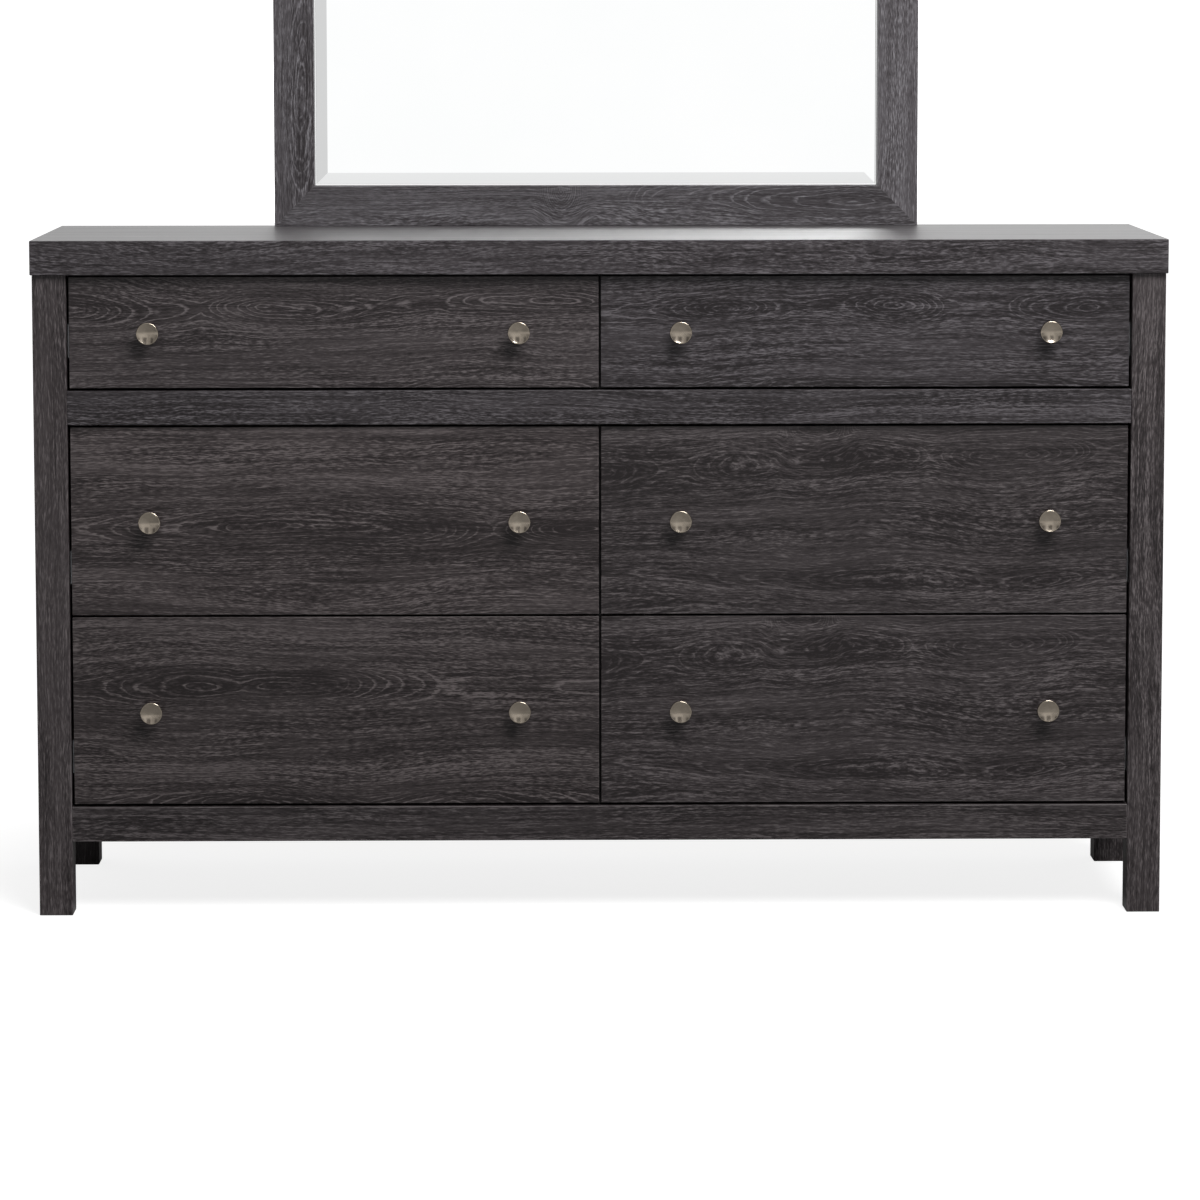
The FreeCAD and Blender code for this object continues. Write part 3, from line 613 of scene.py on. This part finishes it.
# Waves per metre of their noises, along X, Y and Z or the same along all three
LAMINATE_WAVES = {"cloud": 9.0, "grit": 900.0}
HARDBOARD_WAVES = {"cloud": 5.0, "fibre": 420.0, "speck": 230.0}
DRAWER_SIDE_WAVES = (300.0, 8.0, 300.0)
DRAWER_BACK_WAVES = (8.0, 300.0, 300.0)
DRAWER_BOTTOM_WAVES = (6.0, 220.0, 220.0)
DRAWER_BAND_SHARE = 0.12
DRAWER_LINE_SHARE = 0.3
ZINC_WAVES = {"line": (500.0, 6.0, 500.0), "cloud": 40.0}
SCREW_WAVES = 700.0
NICKEL_WAVES = {"turning": (2600.0, 300.0, 0.0), "haze": 130.0}
SILVER_WAVES = 7.0

# Knobs: how fast their hollow faces tilt away from their middle, per metre, and where those faces end
KNOB_HOLLOW = 25.0
KNOB_FACE_START = 0.0141
KNOB_FACE_END = 0.0137


def dark_laminate_and_gap_shade():
    """Dark plain laminate of the boards inside and behind, darkened further as painted shade where it shows
    through the gaps round the drawers.
    """
    material, n = new_material("case_board")
    place = n.object_place()
    cloud = n.noise(place, LAMINATE_WAVES["cloud"], detail=3.0)
    grit = n.noise(place, LAMINATE_WAVES["grit"])
    tone = n.total(n.centred(cloud, reach=0.5), n.centred(grit, reach=0.9), 0.5)
    n.surface(
        Base_Color=n.shade(tone, LAMINATE_AND_GAP_SHADE_COLOURS),
        Roughness=n.scaled(grit, gain=0.2, offset=0.45),
        Normal=n.bump(grit, depth=0.0001),
        Specular_IOR_Level=0.3,
    )
    return material


def hardboard():
    """Brown pressed fibre board, clouded and speckled."""
    material, n = new_material("hardboard")
    place = n.object_place()
    cloud = n.noise(place, HARDBOARD_WAVES["cloud"], detail=3.0)
    fibre = n.noise(place, HARDBOARD_WAVES["fibre"], detail=3.0, roughness=0.7)
    speck = n.between(n.noise(place, HARDBOARD_WAVES["speck"], detail=1.0), start=0.62, end=0.72)
    specked = n.scaled(speck, gain=-0.3, offset=0.5)
    tone = n.total(n.centred(cloud, reach=0.5), n.centred(fibre, reach=1.1), specked)
    n.surface(
        Base_Color=n.shade(tone, HARDBOARD_COLOURS),
        Roughness=n.scaled(fibre, gain=0.25, offset=0.55),
        Normal=n.bump(fibre, depth=0.0002),
        Specular_IOR_Level=0.3,
    )
    return material


def drawer_wood(name, waves, colours):
    """Pale wood of the drawer boxes, with fine straight grain and thin dark lines along it."""
    material, n = new_material(name)
    place = n.object_place()
    fibre = n.noise(place, waves, detail=4.0, roughness=0.6)
    bands = n.noise(place, tuple(DRAWER_BAND_SHARE * count for count in waves))
    line_noise = n.centred(n.noise(place, tuple(DRAWER_LINE_SHARE * count for count in waves)))
    lines = n.between(n.math("ABSOLUTE", line_noise), start=0.06, end=0.01)
    lined = n.scaled(lines, gain=-0.22, offset=0.54)
    tone = n.total(n.centred(fibre, reach=1.2), n.centred(bands, reach=1.7), lined)
    n.surface(
        Base_Color=n.shade(tone, colours),
        Roughness=n.scaled(fibre, gain=0.2, offset=0.38),
        Normal=n.bump(fibre, depth=0.0001),
        Specular_IOR_Level=0.35,
    )
    return material


def zinc_steel():
    """Zinc plated steel, with drawn lines along the slides and a cloudy spangle."""
    material, n = new_material("slide_steel")
    place = n.object_place()
    lines = n.noise(place, ZINC_WAVES["line"], detail=3.0)
    cloud = n.noise(place, ZINC_WAVES["cloud"])
    tone = n.total(n.centred(lines, reach=0.6), n.centred(cloud, reach=0.7), 0.5)
    n.surface(
        Base_Color=n.shade(tone, ZINC_COLOURS),
        Metallic=1.0,
        Roughness=n.scaled(lines, gain=0.25, offset=0.22),
        Normal=n.bump(lines, depth=0.00005),
    )
    return material


def screw_steel():
    """Plated steel of the screws, with small worn spots."""
    material, n = new_material("screw_steel")
    spots = n.noise(n.object_place(), SCREW_WAVES)
    n.surface(
        Base_Color=n.shade(spots, SCREW_COLOURS, start=0.35, end=0.65),
        Metallic=1.0,
        Roughness=n.scaled(spots, gain=0.3, offset=0.2),
    )
    return material


def knob_nickel(node):
    """Polished nickel of a drawer's two knobs, with faint turning rings round each knob's middle."""
    low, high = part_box(node)
    material, n = new_material(f"nickel_{node}")
    knob_radius = (high.z - low.z) / 2
    spacing = (high.x - low.x) / 2 - knob_radius
    x, y, z = n.split(n.vector("SUBTRACT", n.object_place(), (low + high) / 2))
    sideways = n.math("SUBTRACT", n.math("ABSOLUTE", x), spacing)
    radius = n.vector("LENGTH", n.join(sideways, z, 0.0))
    turning = n.noise(n.join(radius, y, 0.0), NICKEL_WAVES["turning"])
    haze = n.noise(n.object_place(), NICKEL_WAVES["haze"], detail=3.0)
    tone = n.total(n.centred(turning, reach=0.5), n.centred(haze, reach=0.9), 0.5)
    outward = n.math("MULTIPLY", sideways, n.math("SIGN", x))
    hollow = n.vector("MULTIPLY", n.join(outward, -1.0, z), (-KNOB_HOLLOW, 1.0, -KNOB_HOLLOW))
    real = n.add("ShaderNodeNewGeometry").outputs["Normal"]
    facing = n.between(n.split(real)["Y"], start=-0.5, end=-0.7)
    face = n.product(facing, n.between(radius, KNOB_FACE_START, KNOB_FACE_END))
    smooth = n.vector("NORMALIZE", n.mix(face, real, n.vector("NORMALIZE", hollow)))
    n.surface(
        Base_Color=n.shade(tone, NICKEL_COLOURS),
        Metallic=1.0,
        Roughness=n.scaled(haze, gain=0.16, offset=0.08),
        Normal=n.bump(turning, depth=0.00001, normal=smooth),
    )
    return material


def mirror_silver():
    """Silvered glass: clear, with a faint haze that differs from place to place."""
    material, n = new_material("mirror_glass")
    haze = n.noise(n.object_place(), SILVER_WAVES, detail=3.0)
    n.surface(
        Base_Color=n.shade(haze, SILVER_COLOURS, start=0.3, end=0.7),
        Metallic=1.0,
        Roughness=n.scaled(haze, gain=0.02, offset=0.0),
    )
    return material


def dress_boards():
    """Gives the plain boards inside and behind their materials."""
    # The inner boards' near-black laminate is partly painted shade, for the gaps round the drawers
    laminate = dark_laminate_and_gap_shade()
    for node in ("center_divider", "bottom_panel", "rear_rails", "top_stretchers",
                 "mirror_left_support", "mirror_right_support"):
        wear(node, laminate)
    backing = hardboard()
    for node in ("back_panel", "mirror_backing"):
        wear(node, backing)


def dress_drawers():
    """Gives each drawer's box, slide rails and knobs their materials, and the fixed slide channels theirs.
    The drawers share one wood for their sides, one for their backs and one for their bottoms."""
    side_wood = drawer_wood("drawer_wood", DRAWER_SIDE_WAVES, DRAWER_SIDE_COLOURS)
    back_wood = drawer_wood("drawer_back_wood", DRAWER_BACK_WAVES, DRAWER_SIDE_COLOURS)
    bottom_wood = drawer_wood("drawer_bottom", DRAWER_BOTTOM_WAVES, DRAWER_BOTTOM_COLOURS)
    steel = zinc_steel()
    for drawer in DRAWERS:
        wear(f"{drawer}_sides", side_wood)
        wear(f"{drawer}_back", back_wood)
        wear(f"{drawer}_bottom", bottom_wood)
        wear(f"{drawer}_slide_rails", steel)
        wear(f"{drawer}_knobs", knob_nickel(f"{drawer}_knobs"))
    wear("slide_channels", steel)


def dress():
    """Gives every node its material."""
    oak = Oak()
    dress_case(oak)
    dress_mirror_frame(oak)
    dress_drawer_fronts(oak)
    dress_boards()
    dress_drawers()
    wear("case_screws", screw_steel())
    wear("mirror_glass", mirror_silver())


def mirrored_background(n, x, y, z):
    """Background as metal and glass show it: a little grey on the left, dim at the flanks, and with a row
    of tall bright panels above the horizon in front."""
    in_front = n.between(y, FRONT_START, FRONT_END)
    rear_right = n.between(x, REAR_SIDE_START, REAR_SIDE_END)
    front_right = n.between(x, SIDE_START, SIDE_END)
    side = n.fade(n.choose(in_front, rear_right, front_right), SIDE_GREY, 1.0)
    turn = n.math("ARCTAN2", x, n.math("MULTIPLY", y, -1.0))
    wide = n.math("SINE", n.scaled(turn, WIDE_WAVES, WIDE_PHASE))
    narrow = n.math("SINE", n.scaled(turn, NARROW_WAVES, NARROW_PHASE))
    gaps = n.between(n.scaled(narrow, NARROW_SHARE, wide), GAP_START, GAP_END)
    above = n.product(n.between(z, PANEL_START, PANEL_END), n.between(z, CEILING_END, CEILING_START))
    panels = n.fade(n.product(gaps, above, in_front), 1.0, GAP_GREY)
    flank = n.fade(n.between(n.math("ABSOLUTE", x), FLANK_START, FLANK_END), 1.0, FLANK_GREY)
    return n.product(side, panels, flank)


def soft_light(n, y, z):
    """Light from all round, stronger from above, with a fill from behind that keeps the back readable."""
    ambient = n.scaled(n.math("MAXIMUM", z, 0.0), AMBIENT_RISE, AMBIENT_LOW)
    behind = n.product(n.between(y, BACK_START, BACK_END), n.between(z, BACK_TOP, 0.0))
    return n.scaled(behind, BACK_FILL, ambient)


def make_world():
    """White background, with the soft light and with what metal and glass show."""
    world = bpy.data.worlds.new("studio")
    bpy.context.scene.world = world
    world.use_nodes = True
    n = Nodes(world.node_tree)
    x, y, z = n.split(n.add("ShaderNodeTexCoord").outputs["Generated"])
    rays = n.add("ShaderNodeLightPath").outputs
    seen = n.math("MAXIMUM", rays["Is Camera Ray"], rays["Is Transmission Ray"])
    unseen = n.choose(rays["Is Glossy Ray"], soft_light(n, y, z), mirrored_background(n, x, y, z))
    strength = n.math("MAXIMUM", unseen, seen)
    light = n.add("ShaderNodeBackground", {}, {"Color": WHITE, "Strength": strength})
    n.add("ShaderNodeOutputWorld", {}, {"Surface": light.outputs[0]})


def floor_paint():
    """Pale floor that keeps the object's shadow and runs into the white background further away. Metal and
    glass show it white only far away."""
    material, n = new_material("floor")
    paint = n.add("ShaderNodeBsdfDiffuse", {}, {"Color": (FLOOR_TONE, FLOOR_TONE, FLOOR_TONE, 1.0)})
    rays = n.add("ShaderNodeLightPath").outputs
    seen = n.math("MAXIMUM", rays["Is Camera Ray"], rays["Is Transmission Ray"])
    distance = n.vector("LENGTH", n.object_place())
    far = n.between(distance, FLOOR_MIRRORED_START, FLOOR_MIRRORED_END)
    mirrored = n.product(rays["Is Glossy Ray"], far, FLOOR_MIRRORED_LIFT)
    white = n.fade(n.between(distance, FLOOR_LIFT_START, FLOOR_LIFT_END), FLOOR_LIFT, 1.0)
    lift = n.scaled(seen, white, mirrored)
    glow = n.add("ShaderNodeEmission", {}, {"Color": WHITE, "Strength": lift})
    both = n.add("ShaderNodeAddShader", {}, {0: paint.outputs[0], 1: glow.outputs[0]})
    n.add("ShaderNodeOutputMaterial", {}, {"Surface": both.outputs[0]})
    return material


def make_floor():
    """One large square of floor."""
    half = FLOOR_SIZE / 2
    mesh = bpy.data.meshes.new("floor")
    corners = [(-half, -half, 0.0), (half, -half, 0.0), (half, half, 0.0), (-half, half, 0.0)]
    mesh.from_pydata(corners, [], [(0, 1, 2, 3)])
    mesh.materials.append(floor_paint())
    floor = bpy.data.objects.new("floor", mesh)
    bpy.context.scene.collection.objects.link(floor)


def make_light():
    """One large soft lamp, high on the right in front of the object."""
    lamp = bpy.data.lights.new("key", "AREA")
    lamp.shape = "DISK"
    lamp.size = KEY_SIZE
    lamp.energy = KEY_POWER
    key = bpy.data.objects.new("key", lamp)
    bpy.context.scene.collection.objects.link(key)
    key.location = KEY_PLACE
    key.rotation_euler = (KEY_AIM - KEY_PLACE).to_track_quat("-Z", "Y").to_euler()


def make_camera():
    """Camera at the photograph's viewing angle."""
    data = bpy.data.cameras.new("camera")
    data.sensor_width = SENSOR_WIDTH
    data.lens = SENSOR_WIDTH * CAMERA_FOCAL_PIXELS / FRAME_PIXELS
    data.shift_y = CAMERA_SHIFT_Y
    data.clip_end = CAMERA_REACH
    camera = bpy.data.objects.new("camera", data)
    bpy.context.scene.collection.objects.link(camera)
    camera.location = CAMERA_PLACE
    camera.rotation_euler = (math.pi / 2 - CAMERA_PITCH, -CAMERA_ROLL, -CAMERA_YAW)
    bpy.context.scene.camera = camera


bpy.context.scene.view_settings.view_transform = "Standard"
dress()
make_world()
make_floor()
make_light()
make_camera()
